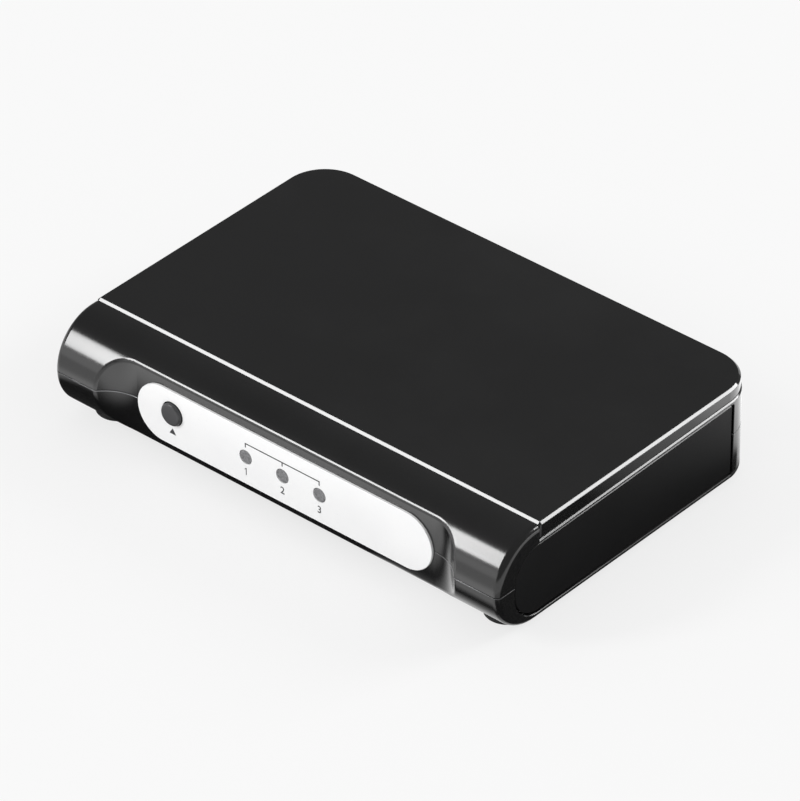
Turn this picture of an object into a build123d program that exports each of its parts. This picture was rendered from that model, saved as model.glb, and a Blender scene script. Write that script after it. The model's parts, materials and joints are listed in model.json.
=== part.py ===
from build123d import *
import os

# A small switch box for video cables: two casing shells with a bull-nosed front, a glossy
# lid, side panels, a white front panel with a button and three lamps, and the electronics.
# Millimetres. X runs along the front, the front faces -Y, Z is up. The origin is at the
# middle of the footprint, at the height of the surface that the feet stand on.

# Overall size
overall_width = 110.0
overall_depth = 75.6
overall_height = 22.0
overrun = 1.0                     # how far a cut runs past the faces that it opens
fit_tolerance = 0.01              # how near two places count as the same

# Casing
foot_stand = 1.0                  # underside above the table
nose_drop = 0.2                   # top of the nose below the lid's face
wall = 2.0
deck_thickness = 1.4
body_rear_inset = 0.2             # casing's back inside the lid's back
body_corner_radius = 8.5
bottom_edge_radius = 1.2
end_edge_radius = 1.3
cavity_side_inset = 4.0           # from the casing's side face to the cavity
parting_height = 11.5
seam_height = 0.16
seam_depth = 0.2

# Lid
lid_setback = 11.9                # lid's front edge behind the front of the nose
lid_groove = 0.3                  # open groove between nose and lid
lid_thickness = 1.2
lid_corner_radius = 9.0
lid_side_inset = 0.2              # lid's sides inside the casing's side faces
lid_front_corner_radius = 0.5
lid_edge_bevel = 0.5
skirt_thickness = 1.3
skirt_depth_front = 3.3           # lid's turned-down side, measured from the top
skirt_depth_rear = 2.5
skirt_clearance = 0.1
skirt_groove = 0.2                # between the skirt and the casing's rim
rim_edge_bevel = 0.3              # casing's rim, along the groove

# Scoop in the nose
scoop_depth = 3.7                 # flat wall of the scoop behind the front of the nose
scoop_half_width = 37.0           # half the flat wall
scoop_end_radius = 9.5
scoop_edge_radius = 1.0

# Side panels
side_inset = 0.25                 # panel's face inside the casing's side face
side_thickness = 1.5
side_front_rim = 5.1              # from the front of the nose to the panel
side_rear_rim = 8.0               # from the casing's back to the panel
side_bottom_rim = 1.7
side_top_rim = 1.1                # from the groove under the skirt to the panel
side_front_radius = 6.6
side_rear_radius = 0.3
side_clearance = 0.3              # open groove round the panel
side_edge_bevel = 0.15            # panel's edges and the rim round it

# White front panel
panel_length = 73.0
panel_height = 12.4
panel_thickness = 0.5
panel_center_height = 11.2
panel_edge_radius = 0.15

# Select button
button_x = -27.6
button_height = 12.4
button_diameter = 4.8
button_proud = 0.75
button_clearance = 0.22
button_edge_radius = 0.45
button_travel = 0.4
flange_diameter = 7.0
flange_thickness = 0.8
stem_diameter = 3.0

# Indicator lamps
lamp_count = 3
lamp_pitch = 9.15
lamp_height = 11.2
lamp_diameter = 3.0
lamp_length = 5.3
lamp_clearance = 0.06
lamp_sink = 0.05                  # lamp's tip behind the panel's face
lamp_tip_radius = 0.25
lamp_flange_diameter = 3.8
lamp_flange_thickness = 1.0
lead_side = 0.5
lead_spacing = 2.54
lead_reach = 1.4                  # lamp's back to the far side of the bent lead
lead_tail = 1.4                   # lead below the board
lead_clearance = 0.15

# Feet
foot_diameter = 9.0
foot_pocket_depth = 1.0
foot_pocket_clearance = 0.1
foot_edge_radius = 0.4
front_foot_inset = 6.5            # feet's centres inside the casing's side faces
rear_foot_inset = 8.5
rear_foot_setback = 9.7           # rear feet's centres in front of the casing's back

# Circuit board
board_thickness = 1.6
board_top = 8.3
board_side_gap = 6.6              # board's edge inside the cavity's side
board_front_gap = 1.4             # board's edge behind the scoop's inner wall
board_rear_gap = 0.3
board_corner_radius = 1.0

# Screws and posts
case_screw_inset = 7.4            # from the casing's side face
case_screw_front_setback = 20.3   # from the front of the nose
case_screw_rear_setback = 22.1    # from the casing's back
case_post_diameter = 6.0
case_screw_diameter = 2.6
case_screw_length = 10.0
case_head_diameter = 4.6
case_head_height = 1.6
case_head_seat = 5.2              # height of the face that the head pulls on
head_clearance = 0.3
pilot_clearance = 0.05
shank_clearance = 0.2
board_screw_inset = 4.4           # from the board's side edge
board_screw_front_setback = 7.2   # from the board's front edge
board_screw_rear_setback = 22.3   # from the board's back edge
board_post_diameter = 5.0
board_screw_diameter = 2.0
board_screw_length = 5.0
board_head_diameter = 3.8
board_head_height = 1.3
driver_slot_length_share = 0.62   # of the head's diameter
driver_slot_width_share = 0.16
driver_slot_depth_share = 0.55    # of the head's height

# Video sockets
first_socket_inset = 8.9          # from the board's side edge
last_socket_gap = 16.0            # from the power socket's axis
socket_names = ("output", "input_1", "input_2", "input_3")
mouth_width = 14.0
mouth_height = 4.6
mouth_bevel_width = 1.7
mouth_bevel_height = 1.8
socket_sheet = 0.35
socket_length = 11.6
socket_recess = 0.3               # socket's mouth inside the casing's back
socket_hole_clearance = 0.3
tongue_width = 11.6
tongue_thickness = 1.6
tongue_setback = 1.2              # tongue's tip behind the mouth
tongue_block_depth = 2.2
upper_contact_count = 10
lower_contact_count = 9
contact_pitch = 1.0
contact_width = 0.4
contact_thickness = 0.22
contact_setback = 0.6             # contact's tip behind the tongue's tip
contact_rise = 0.05               # contact stands out of the tongue
contact_leg_gap = 0.5             # bent leg behind the block
contact_foot = 0.9
tab_width = 1.2
tab_tail = 1.2                    # tab below the board
tab_front_setback = 2.2
tab_rear_setback = 8.0

# Power socket
jack_inset = 5.4                  # axis inside the board's side edge
jack_width = 9.0
jack_height = 10.7
jack_length = 13.2
jack_bore_height = 6.5            # bore's axis above the board
jack_bore_diameter = 6.3
jack_bore_depth = 10.2
jack_nozzle_diameter = 7.8
jack_nozzle_clearance = 0.15
jack_pin_diameter = 2.0
jack_pin_setback = 1.0
jack_contact_width = 2.0
jack_contact_thickness = 0.3
jack_contact_reach = 7.0
jack_tail = 1.2

# Tactile switch
switch_side = 6.0
switch_depth = 3.4
switch_gap = 3.8                  # switch's front behind the scoop's inner wall
switch_cover_thickness = 0.3
switch_leg_depth = 2.4
switch_leg_tail = 1.2
switch_well_diameter = 4.6
switch_well_depth = 1.8
plunger_diameter = 3.4
plunger_clearance = 0.1
plunger_flange_diameter = 4.3
plunger_flange_thickness = 0.5
plunger_nub_diameter = 1.6
plunger_nub_length = 0.7
plunger_proud = 1.3
switch_pin_width = 0.7
switch_pin_thickness = 0.3
switch_pin_spacing = 4.5
switch_pin_reach = 1.2

# Chips and small parts on the board
chip_stand = 0.1                  # package above the board
lead_thickness = 0.15
chip_x = 6.0
chip_setback = 27.7               # centres behind the board's front edge
chip_side = 12.0
chip_height = 1.4
chip_corner_cut = 0.8
chip_dot_diameter = 1.2
chip_dot_depth = 0.1
chip_dot_inset = 1.6
chip_lead_count = 16              # on each side
chip_lead_pitch = 0.65
chip_lead_width = 0.25
chip_lead_reach = 1.1
control_inset = 24.4              # from the board's side edge
control_setback = 26.7
control_length = 5.0
control_width = 4.0
control_height = 1.5
control_lead_count = 4
control_lead_pitch = 1.27
control_lead_width = 0.4
control_lead_reach = 1.0
regulator_inset = 9.4
regulator_setback = 34.2
regulator_length = 6.5
regulator_width = 3.5
regulator_height = 1.6
regulator_lead_count = 3
regulator_lead_pitch = 2.3
regulator_lead_width = 0.7
regulator_lead_reach = 1.7
crystal_setback = 16.7
crystal_length = 11.0
crystal_width = 4.6
crystal_height = 3.6
crystal_base_height = 0.5
crystal_base_rim = 0.4
can_inset = 10.4
can_setback = 18.7
can_spacing = 8.0
can_diameter = 5.0
can_height = 5.6
can_base_side = 5.4
can_base_height = 0.8
can_edge_radius = 0.4
small_part_length = 1.6
small_part_width = 0.8
capacitor_height = 0.8
resistor_height = 0.5
small_row_count = 6               # in the row in front of each socket
small_row_pitch = 2.3
capacitor_row_gap = 3.0           # from the sockets' inner ends to the row
resistor_row_gap = 6.0

# Heights and places that follow
front_y = -overall_depth / 2
rear_y = overall_depth / 2
half_width = overall_width / 2
lid_top = overall_height
lid_front_y = front_y + lid_setback
lid_underside = lid_top - lid_thickness
lid_half_width = half_width - lid_side_inset
underside = foot_stand
nose_top = overall_height - nose_drop
nose_radius = (nose_top - underside) / 2
nose_y = front_y + nose_radius
nose_z = underside + nose_radius
body_rear_y = rear_y - body_rear_inset
ceiling = lid_underside - deck_thickness
floor_top = underside + wall
cavity_half_width = half_width - cavity_side_inset
scoop_wall_y = front_y + scoop_depth
scoop_inner_y = scoop_wall_y + wall
panel_face_y = scoop_wall_y - panel_thickness
inner_rear_y = body_rear_y - wall
board_bottom = board_top - board_thickness
board_front_y = scoop_inner_y + board_front_gap
board_rear_y = inner_rear_y - board_rear_gap
socket_mouth_y = body_rear_y - socket_recess
socket_inner_y = socket_mouth_y - socket_length
socket_z = board_top + socket_sheet + mouth_height / 2
switch_front_y = scoop_inner_y + switch_gap
switch_back_y = switch_front_y + switch_depth
plunger_tip_y = switch_front_y - plunger_proud
lamp_tip_y = panel_face_y + lamp_sink
lamp_back_y = lamp_tip_y + lamp_length
front_foot_y = nose_y
rear_foot_y = body_rear_y - rear_foot_setback
front_foot_x = half_width - front_foot_inset
rear_foot_x = half_width - rear_foot_inset
foot_places = {
    "foot_front_left": (-front_foot_x, front_foot_y),
    "foot_front_right": (front_foot_x, front_foot_y),
    "foot_rear_left": (-rear_foot_x, rear_foot_y),
    "foot_rear_right": (rear_foot_x, rear_foot_y),
}
board_half_width = cavity_half_width - board_side_gap
case_screw_places = [(side * (half_width - case_screw_inset), y) for side in (-1, 1)
                     for y in (front_y + case_screw_front_setback, body_rear_y - case_screw_rear_setback)]
board_screw_places = [(side * (board_half_width - board_screw_inset), y) for side in (-1, 1)
                      for y in (board_front_y + board_screw_front_setback,
                                board_rear_y - board_screw_rear_setback)]
chip_y = board_front_y + chip_setback
control_x = control_inset - board_half_width
control_y = board_front_y + control_setback
regulator_x = regulator_inset - board_half_width
regulator_y = board_front_y + regulator_setback
crystal_x = control_x
crystal_y = board_front_y + crystal_setback
can_x = can_inset - board_half_width
can_y = board_front_y + can_setback
jack_x = jack_inset - board_half_width
first_socket_x = board_half_width - first_socket_inset
socket_pitch = (first_socket_x - last_socket_gap - jack_x) / (len(socket_names) - 1)
socket_places = [first_socket_x - number * socket_pitch for number in range(len(socket_names))]
lamp_places = [(number - (lamp_count - 1) / 2) * lamp_pitch for number in range(lamp_count)]


# Shared shapes

def block(low, high):
    """A box between two opposite corners."""
    size = [b - a for a, b in zip(low, high)]
    middle = [(a + b) / 2 for a, b in zip(low, high)]
    return Pos(*middle) * Box(*size)


def rod_along_y(x, z, diameter, start, end):
    """A round rod from start to end along Y."""
    return Pos(x, (start + end) / 2, z) * Rot(90, 0, 0) * Cylinder(diameter / 2, end - start)


def rod_along_z(x, y, diameter, start, end):
    """A round rod from start to end along Z."""
    return Pos(x, y, (start + end) / 2) * Cylinder(diameter / 2, end - start)


def across(outline, half):
    """A side outline, drawn with Y and Z as its axes, thickened to both sides of the middle."""
    return extrude(Plane.YZ.offset(-half) * outline, 2 * half)


def up(outline, low, high):
    """A plan outline thickened from one height to another."""
    return extrude(Pos(0, 0, low) * outline, high - low)


def rectangle(low, high):
    """A flat rectangle between two opposite corners."""
    middle = Pos((low[0] + high[0]) / 2, (low[1] + high[1]) / 2)
    return middle * Rectangle(high[0] - low[0], high[1] - low[1])


def rounded_back(half, start, end, radius):
    """A plan rectangle with its two back corners rounded."""
    outline = rectangle((-half, start), (half, end))
    return fillet(outline.vertices().group_by(Axis.Y)[-1], radius)


# Casing

def casing_form(inset):
    """The casing's solid outer form, shrunk by an inset on every side."""
    radius = nose_radius - inset
    half = half_width - inset
    rear = body_rear_y - inset
    low = underside + inset
    high = nose_top - inset
    side = Pos(nose_y, nose_z) * Circle(radius) + rectangle((nose_y, low), (rear, high))
    form = across(side, half)
    end_radius = end_edge_radius - inset
    if end_radius > 0:
        back = form.faces().sort_by(Axis.Y)[-1].edges()
        ends = [face for face in form.faces() if abs(face.normal_at().X) > 0.9]
        form = fillet([edge for face in ends for edge in face.edges() if edge not in back], end_radius)
    plan = up(rounded_back(half, front_y - overrun, rear, body_corner_radius - inset), low, high)
    bottom_radius = bottom_edge_radius - inset
    if bottom_radius > 0:
        bottom = plan.faces().sort_by(Axis.Z)[0].edges().sort_by(Axis.Y)
        plan = fillet(bottom[1:], bottom_radius)
    return form & plan


def scoop_cutter(inset):
    """The space in front of the scoop's wall, grown into the casing by an inset."""
    wall_y = scoop_wall_y + inset
    center_y = scoop_wall_y - scoop_end_radius
    radius = scoop_end_radius + inset
    out_y = front_y - overrun
    reach = (radius ** 2 - (out_y - center_y) ** 2) ** 0.5
    out_x = scoop_half_width + reach
    middle = radius * 0.5 ** 0.5
    middle_x = scoop_half_width + middle
    middle_y = center_y + middle
    outline = Line((out_x, out_y), (-out_x, out_y))
    outline += ThreePointArc((-out_x, out_y), (-middle_x, middle_y), (-scoop_half_width, wall_y))
    outline += Line((-scoop_half_width, wall_y), (scoop_half_width, wall_y))
    outline += ThreePointArc((scoop_half_width, wall_y), (middle_x, middle_y), (out_x, out_y))
    return up(make_face(outline), underside - overrun, lid_top + overrun)


def slope_height(y, drop):
    """Height of the skirt's lower edge at a depth, lowered by a drop."""
    flat_y = rear_y - lid_corner_radius
    share = min(max((y - lid_front_y) / (flat_y - lid_front_y), 0), 1)
    depth = skirt_depth_front + (skirt_depth_rear - skirt_depth_front) * share
    return lid_top - depth - drop


def above_slope(drop, start_y):
    """Everything behind a start, in front of the lid's edge, that lies above the skirt's lower edge."""
    flat_y = rear_y - lid_corner_radius
    far_y = rear_y + overrun
    high = lid_top + overrun
    edge = [(y, slope_height(y, drop)) for y in (start_y, lid_front_y, flat_y, far_y)]
    outline = make_face(Polyline((start_y, high), *edge, (far_y, high), close=True))
    return across(outline, half_width + overrun)


def cavity():
    """The hollow inside the two closed shells."""
    room = block((-cavity_half_width, front_y, underside), (cavity_half_width, rear_y, ceiling))
    return (casing_form(wall) & room) - scoop_cutter(wall)


def side_outline(clearance):
    """Outline of a side panel seen from the side, grown by a clearance."""
    front = front_y + side_front_rim
    rear = body_rear_y - side_rear_rim
    low = underside + side_bottom_rim
    drop = skirt_groove + side_top_rim
    outline = make_face(Polyline((front, low), (rear, low), (rear, slope_height(rear, drop)),
                                 (front, slope_height(front, drop)), close=True))
    outline = fillet(outline.vertices().group_by(Axis.X)[0], side_front_radius)
    outline = fillet(outline.vertices().group_by(Axis.X)[-1], side_rear_radius)
    return offset(outline, clearance) if clearance else outline


def side_recess(side):
    """The room for one side panel, open to that side."""
    floor_x = half_width - side_inset - side_thickness
    outline = side_outline(side_clearance)
    room = extrude(Plane.YZ.offset(floor_x) * outline, half_width + overrun - floor_x)
    bevel_x = half_width - side_edge_bevel
    room += extrude(Plane.YZ.offset(bevel_x) * outline, half_width + overrun - bevel_x, taper=-45)
    return room if side > 0 else mirror(room, Plane.YZ)


def seam():
    """A fine groove round the casing where the two shells meet."""
    slab = block((-half_width - overrun, front_y - overrun, parting_height - seam_height / 2),
                 (half_width + overrun, rear_y + overrun, parting_height + seam_height / 2))
    return slab - (casing_form(seam_depth) - scoop_cutter(seam_depth))


def scooped_form():
    """The casing's outer form with the scoop cut into its nose, the scoop's edges eased."""
    form = casing_form(0)
    cutter = scoop_cutter(0)
    result = form - cutter
    rims = [edge for edge in new_edges(form, cutter, combined=result)
            if edge.geom_type != GeomType.LINE or abs(edge.tangent_at(0).X) > 0.9]
    return fillet(rims, scoop_edge_radius)


def socket_outline(grow):
    """The socket's mouth with its two lower corners cut, grown by a sheet or a clearance."""
    half = mouth_width / 2
    tall = mouth_height / 2
    outline = make_face(Polyline((-half, tall), (half, tall), (half, -tall + mouth_bevel_height),
                                 (half - mouth_bevel_width, -tall), (-half + mouth_bevel_width, -tall),
                                 (-half, -tall + mouth_bevel_height), close=True))
    return offset(outline, grow, kind=Kind.INTERSECTION) if grow else outline


def along_y(outline, start, end):
    """An outline drawn with X and Z as its axes, thickened from start to end along Y."""
    return extrude(Plane((0, start, 0), x_dir=(1, 0, 0), z_dir=(0, -1, 0)) * outline, start - end)


def casing_openings():
    """Holes through both shells for the button, the lamps and the sockets."""
    near = scoop_wall_y - overrun
    far = scoop_inner_y + overrun
    holes = [rod_along_y(button_x, button_height, button_diameter + 2 * button_clearance, near, far)]
    for x in lamp_places:
        holes.append(rod_along_y(x, lamp_height, lamp_diameter + 2 * lamp_clearance, near, far))
    for x in socket_places:
        mouth = along_y(socket_outline(socket_sheet + socket_hole_clearance),
                        inner_rear_y - overrun, body_rear_y + overrun)
        holes.append(Pos(x, 0, socket_z) * mouth)
    holes.append(rod_along_y(jack_x, board_top + jack_bore_height,
                             jack_nozzle_diameter + 2 * jack_nozzle_clearance,
                             inner_rear_y - overrun, body_rear_y + overrun))
    return holes


def casing_cuts():
    """What both shells lose to the pieces that sit in them."""
    cuts = [seam(), side_recess(1), side_recess(-1)]
    cuts += casing_openings()
    seat_y = lid_front_y - lid_groove
    cuts.append(block((-half_width - overrun, seat_y, lid_underside),
                      (half_width + overrun, rear_y + overrun, lid_top + overrun)))
    inner = rounded_back(lid_half_width - skirt_thickness - skirt_clearance, seat_y - overrun,
                         rear_y - skirt_thickness - skirt_clearance,
                         lid_corner_radius - skirt_thickness - skirt_clearance)
    inside = up(inner, underside, lid_top + overrun)
    cuts.append(above_slope(skirt_groove, seat_y) - inside)
    return cuts


def half_casing(low, high):
    """The part of the hollow casing between two heights."""
    slab = block((-half_width - overrun, front_y - overrun, low),
                 (half_width + overrun, rear_y + overrun, high))
    shell = (scooped_form() - cavity()) & slab
    return shell.cut(*casing_cuts())


def on_rim(edge):
    """True for the outer edges of the casing's rim, along the groove under the skirt."""
    point = edge @ 0.5
    corner_x = half_width - body_corner_radius
    corner_y = body_rear_y - body_corner_radius
    outside = max(abs(point.X) - half_width, point.Y - body_rear_y)
    if abs(point.X) > corner_x and point.Y > corner_y:
        reach = ((abs(point.X) - corner_x) ** 2 + (point.Y - corner_y) ** 2) ** 0.5
        outside = reach - body_corner_radius
    rise = point.Z - slope_height(point.Y, skirt_groove)
    return max(abs(outside), abs(rise)) < fit_tolerance


def upper_shell():
    shell = half_casing(parting_height, lid_top + overrun)
    shell = chamfer(shell.edges().filter_by(on_rim), rim_edge_bevel)
    screw_end = case_head_seat + case_screw_length
    for x, y in case_screw_places:
        shell += rod_along_z(x, y, case_post_diameter, parting_height, ceiling + deck_thickness / 2)
        shell -= rod_along_z(x, y, case_screw_diameter + 2 * pilot_clearance,
                             parting_height - overrun, screw_end + overrun)
    return shell


def lower_shell():
    shell = half_casing(underside - overrun, parting_height)
    pocket_top = underside + foot_pocket_depth
    pocket = foot_diameter + 2 * foot_pocket_clearance
    head_bore = case_head_diameter + 2 * head_clearance
    for x, y in foot_places.values():
        shell -= rod_along_z(x, y, pocket, underside - overrun, pocket_top)
    for x, y in case_screw_places:
        shell += rod_along_z(x, y, case_post_diameter, floor_top - wall / 2, parting_height)
        shell -= rod_along_z(x, y, head_bore, underside - overrun, case_head_seat)
        shell -= rod_along_z(x, y, case_screw_diameter + 2 * shank_clearance,
                             case_head_seat - overrun, parting_height + overrun)
    for x, y in board_screw_places:
        shell += rod_along_z(x, y, board_post_diameter, floor_top - wall / 2, board_bottom)
        shell -= rod_along_z(x, y, board_screw_diameter + 2 * pilot_clearance,
                             board_top - board_screw_length - overrun, board_bottom + overrun)
    return shell


def top_plate():
    """The glossy lid with its sides and back turned down."""
    outline = rounded_back(lid_half_width, lid_front_y, rear_y, lid_corner_radius)
    outline = fillet(outline.vertices().group_by(Axis.Y)[0], lid_front_corner_radius)
    low = lid_top - skirt_depth_front
    plate = up(outline, low, lid_top)
    plate = chamfer(plate.faces().sort_by(Axis.Z)[-1].edges(), lid_edge_bevel)
    inner = rounded_back(lid_half_width - skirt_thickness, lid_front_y - overrun, rear_y - skirt_thickness,
                         lid_corner_radius - skirt_thickness)
    plate -= up(inner, low - overrun, lid_underside)
    return plate & above_slope(0, lid_front_y - overrun)


def side_panel(side):
    """A flat panel set into one end of the casing."""
    floor_x = half_width - side_inset - side_thickness
    panel = extrude(Plane.YZ.offset(floor_x) * side_outline(0), side_thickness)
    panel = chamfer(panel.faces().sort_by(Axis.X)[-1].edges(), side_edge_bevel)
    return panel if side > 0 else mirror(panel, Plane.YZ)


def front_panel():
    """The white plate on the scoop's wall, with holes for the button and the lamps."""
    panel = along_y(SlotOverall(panel_length, panel_height), panel_face_y, scoop_wall_y)
    panel = fillet(panel.faces().sort_by(Axis.Y)[0].edges(), panel_edge_radius)
    panel = Pos(0, 0, panel_center_height) * panel
    near = panel_face_y - overrun
    far = scoop_wall_y + overrun
    panel -= rod_along_y(button_x, button_height, button_diameter + 2 * button_clearance, near, far)
    for x in lamp_places:
        panel -= rod_along_y(x, lamp_height, lamp_diameter + 2 * lamp_clearance, near, far)
    return panel


# Feet and screws

def foot(x, y):
    """A stick-on rubber disc in its pocket."""
    disc = rod_along_z(x, y, foot_diameter, 0, foot_stand + foot_pocket_depth)
    return fillet(disc.edges().sort_by(Axis.Z)[0], foot_edge_radius)


def screw(x, y, seat, diameter, length, head_diameter, head_height, direction):
    """A screw whose head rests on a seat and whose shank runs along Z in a direction."""
    head = rod_along_z(x, y, head_diameter, *sorted((seat, seat - direction * head_height)))
    shank = rod_along_z(x, y, diameter, *sorted((seat, seat + direction * length)))
    slot_length = head_diameter * driver_slot_length_share
    slot_width = head_diameter * driver_slot_width_share
    slot_end = seat - direction * head_height
    slot_floor = slot_end + direction * head_height * driver_slot_depth_share
    low, high = sorted((slot_end - direction * overrun, slot_floor))
    result = head + shank
    for long_x, long_y in ((slot_length, slot_width), (slot_width, slot_length)):
        result -= block((x - long_x / 2, y - long_y / 2, low), (x + long_x / 2, y + long_y / 2, high))
    return result


def case_screws():
    return [screw(x, y, case_head_seat, case_screw_diameter, case_screw_length,
                  case_head_diameter, case_head_height, 1) for x, y in case_screw_places]


def board_screws():
    return [screw(x, y, board_top, board_screw_diameter, board_screw_length,
                  board_head_diameter, board_head_height, -1) for x, y in board_screw_places]


# Button and tactile switch

def select_button():
    """The cap, its retaining flange and the stem that presses the plunger."""
    tip_y = panel_face_y - button_proud
    cap = rod_along_y(button_x, button_height, button_diameter, tip_y, scoop_inner_y)
    cap = fillet(cap.edges().sort_by(Axis.Y)[0], button_edge_radius)
    flange_end = scoop_inner_y + flange_thickness
    flange = rod_along_y(button_x, button_height, flange_diameter, scoop_inner_y, flange_end)
    stem = rod_along_y(button_x, button_height, stem_diameter, scoop_inner_y, plunger_tip_y)
    return cap + flange + stem


def switch_plunger():
    """The switch's own pin: shaft, inner flange and the nub that bears on the contact."""
    inner_y = switch_front_y + switch_cover_thickness
    flange_end = inner_y + plunger_flange_thickness
    shaft = rod_along_y(button_x, button_height, plunger_diameter, plunger_tip_y, flange_end)
    flange = rod_along_y(button_x, button_height, plunger_flange_diameter, inner_y, flange_end)
    nub_end = flange_end + plunger_nub_length
    nub = rod_along_y(button_x, button_height, plunger_nub_diameter, inner_y, nub_end)
    return shaft + flange + nub


def switch_housing():
    """The plastic body with the well in which the plunger moves."""
    half = switch_side / 2
    inner_y = switch_front_y + switch_cover_thickness
    body = block((button_x - half, inner_y, button_height - half),
                 (button_x + half, switch_back_y, button_height + half))
    well_end = inner_y + switch_well_depth
    return body - rod_along_y(button_x, button_height, switch_well_diameter, inner_y - overrun, well_end)


def switch_cover():
    """The steel cover that holds the plunger, with two side legs into the board."""
    half = switch_side / 2
    outer = half + switch_cover_thickness
    front = block((button_x - outer, switch_front_y, button_height - half),
                  (button_x + outer, switch_front_y + switch_cover_thickness, button_height + half))
    front -= rod_along_y(button_x, button_height, plunger_diameter + 2 * plunger_clearance,
                         switch_front_y - overrun, switch_back_y)
    for side in (-1, 1):
        near, far = sorted((button_x + side * half, button_x + side * outer))
        front += block((near, switch_front_y, board_bottom - switch_leg_tail),
                       (far, switch_front_y + switch_leg_depth, button_height + half))
    return front


def switch_pins():
    """The two solder pins, bent from the switch's back down into the board."""
    pins = []
    for side in (-1, 1):
        x = button_x + side * switch_pin_spacing / 2
        low_x = x - switch_pin_width / 2
        high_x = x + switch_pin_width / 2
        height = button_height - switch_side / 4
        reach_y = switch_back_y + switch_pin_reach
        arm = block((low_x, switch_back_y, height), (high_x, reach_y, height + switch_pin_thickness))
        leg = block((low_x, reach_y - switch_pin_thickness, board_bottom - switch_leg_tail),
                    (high_x, reach_y, height + switch_pin_thickness))
        pins.append(arm + leg)
    return pins


def switch_slots():
    """Board slots for the switch's cover legs and pins."""
    half = switch_side / 2
    outer = half + switch_cover_thickness
    slots = []
    for side in (-1, 1):
        near, far = sorted((button_x + side * half, button_x + side * outer))
        slots.append(((near, switch_front_y), (far, switch_front_y + switch_leg_depth)))
        x = button_x + side * switch_pin_spacing / 2
        reach_y = switch_back_y + switch_pin_reach
        slots.append(((x - switch_pin_width / 2, reach_y - switch_pin_thickness),
                      (x + switch_pin_width / 2, reach_y)))
    return slots


# Lamps

def lamp(x):
    """One lamp: a round lens body with a flange at its back."""
    body = rod_along_y(x, lamp_height, lamp_diameter, lamp_tip_y, lamp_back_y)
    body = fillet(body.edges().sort_by(Axis.Y)[0], lamp_tip_radius)
    flange_start = lamp_back_y - lamp_flange_thickness
    return body + rod_along_y(x, lamp_height, lamp_flange_diameter, flange_start, lamp_back_y)


def lead_places():
    return [x + side * lead_spacing / 2 for x in lamp_places for side in (-1, 1)]


def lamp_leads():
    """Two bent wires from each lamp's back down through the board."""
    wires = []
    reach_y = lamp_back_y + lead_reach
    low = lamp_height - lead_side / 2
    high = lamp_height + lead_side / 2
    for x in lead_places():
        arm = block((x - lead_side / 2, lamp_back_y, low), (x + lead_side / 2, reach_y, high))
        leg = block((x - lead_side / 2, reach_y - lead_side, board_bottom - lead_tail),
                    (x + lead_side / 2, reach_y, high))
        wires.append(arm + leg)
    return wires


# Video sockets

def tab_boxes():
    """Plan corners of a socket's four mounting tabs, about the socket's middle."""
    boxes = []
    for side in (-1, 1):
        near, far = sorted((side * mouth_width / 2, side * (mouth_width / 2 + socket_sheet)))
        for setback in (tab_front_setback, tab_rear_setback):
            start = socket_mouth_y - setback - tab_width
            boxes.append(((near, start), (far, start + tab_width)))
    return boxes


def socket_shell(x):
    """The folded steel shell of one socket with its tabs through the board."""
    tube = along_y(socket_outline(socket_sheet), socket_inner_y, socket_mouth_y)
    tube -= along_y(socket_outline(0), socket_inner_y - overrun, socket_mouth_y + overrun)
    shell = Pos(0, 0, socket_z) * tube
    for low, high in tab_boxes():
        shell += block((*low, board_bottom - tab_tail), (*high, socket_z))
    return Pos(x, 0, 0) * shell


def socket_contacts():
    """The two rows of spring contacts of a socket at the middle, each bent down to the board."""
    contacts = []
    tongue_top = socket_z + tongue_thickness / 2
    tongue_bottom = socket_z - tongue_thickness / 2
    rows = ((upper_contact_count, tongue_top + contact_rise - contact_thickness),
            (lower_contact_count, tongue_bottom - contact_rise))
    tip_y = socket_mouth_y - tongue_setback - contact_setback
    leg_y = socket_inner_y - contact_leg_gap
    for count, low in rows:
        for number in range(count):
            x = (number - (count - 1) / 2) * contact_pitch
            near = x - contact_width / 2
            far = x + contact_width / 2
            strip = block((near, leg_y, low), (far, tip_y, low + contact_thickness))
            leg = block((near, leg_y, board_top), (far, leg_y + contact_thickness, low + contact_thickness))
            tail = block((near, leg_y - contact_foot, board_top),
                         (far, leg_y + contact_thickness, board_top + contact_thickness))
            contacts.append(strip + leg + tail)
    return contacts


def socket_insulator(contacts):
    """The plastic block and tongue of a socket at the middle, moulded round its contacts."""
    body = along_y(socket_outline(0), socket_inner_y, socket_inner_y + tongue_block_depth)
    tongue = block((-tongue_width / 2, socket_inner_y, -tongue_thickness / 2),
                   (tongue_width / 2, socket_mouth_y - tongue_setback, tongue_thickness / 2))
    return (Pos(0, 0, socket_z) * (body + tongue)).cut(*contacts)


# Power socket

def jack_pin():
    """The centre pin and its solder tail."""
    axis_z = board_top + jack_bore_height
    back_y = inner_rear_y - jack_length
    tip_y = socket_mouth_y - jack_pin_setback
    half = jack_pin_diameter / 2
    pin = rod_along_y(jack_x, axis_z, jack_pin_diameter, back_y - jack_contact_thickness, tip_y)
    tail = block((jack_x - half, back_y - jack_contact_thickness, board_bottom - jack_tail),
                 (jack_x + half, back_y, axis_z))
    return pin + tail


def jack_contact():
    """The spring strip along the bottom of the bore, with its tail through the board."""
    half = jack_contact_width / 2
    bore_bottom = board_top + jack_bore_height - jack_bore_diameter / 2
    start_y = socket_mouth_y - jack_bore_depth
    strip = block((jack_x - half, start_y, bore_bottom - jack_contact_thickness),
                  (jack_x + half, start_y + jack_contact_reach, bore_bottom + jack_contact_thickness))
    tail = block((jack_x - half, start_y, board_bottom - jack_tail),
                 (jack_x + half, start_y + jack_contact_thickness, bore_bottom))
    return strip + tail


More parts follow.
